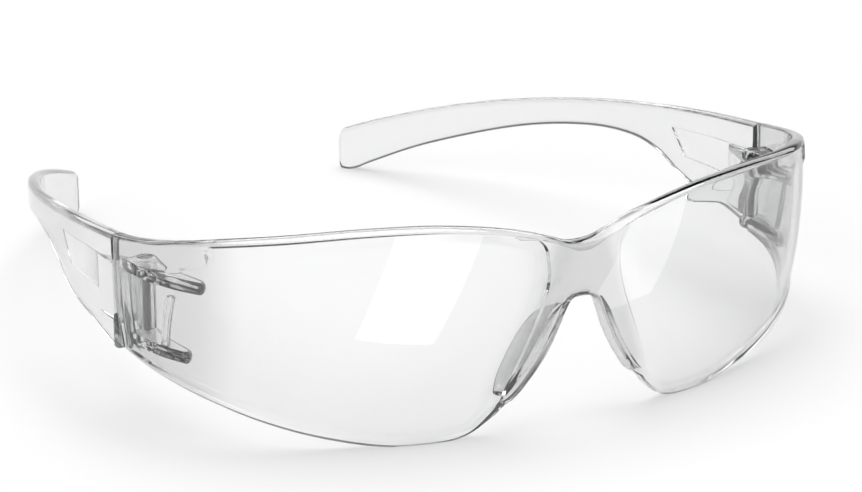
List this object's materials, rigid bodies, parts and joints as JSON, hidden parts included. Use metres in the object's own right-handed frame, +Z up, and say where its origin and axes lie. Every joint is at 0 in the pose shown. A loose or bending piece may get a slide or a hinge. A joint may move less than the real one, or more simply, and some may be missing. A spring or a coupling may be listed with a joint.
{
  "type": "safety glasses",
  "caption": "Clear frameless wraparound safety glasses: a one-piece shield with moulded brow, bridge and nose wings, and two clear curved temples that fold on steel hinge screws.",
  "frame": {"origin": "middle of the footprint, on the surface that the open glasses stand on", "axes": "+X towards the wearer's left, +Y from the shield back to the ears, +Z up; X = 0 is the mirror plane"},
  "size_m": [0.145, 0.1632, 0.043],
  "materials": {
    "clear_polycarbonate": "clear polished polycarbonate, hard coated, thin grey edge",
    "temple_polycarbonate": "clear moulded polycarbonate, very slightly hazy",
    "screw_steel": "dark plain steel with a fine thread"
  },
  "bodies": {
    "shield": {"lens_shield": "clear_polycarbonate", "left_hinge_screw": "screw_steel", "right_hinge_screw": "screw_steel"},
    "left_temple": {"left_temple": "temple_polycarbonate"},
    "right_temple": {"right_temple": "temple_polycarbonate"}
  },
  "joints": [
    {"name": "left_fold", "type": "hinge", "parent": "shield", "child": "left_temple", "pos_m": [0.0669, -0.0372, 0.0235], "axis": [0, 0, 1], "range_deg": [0, 85]},
    {"name": "right_fold", "type": "hinge", "parent": "shield", "child": "right_temple", "pos_m": [-0.0669, -0.0372, 0.0235], "axis": [0, 0, -1], "range_deg": [0, 75]}
  ]
}
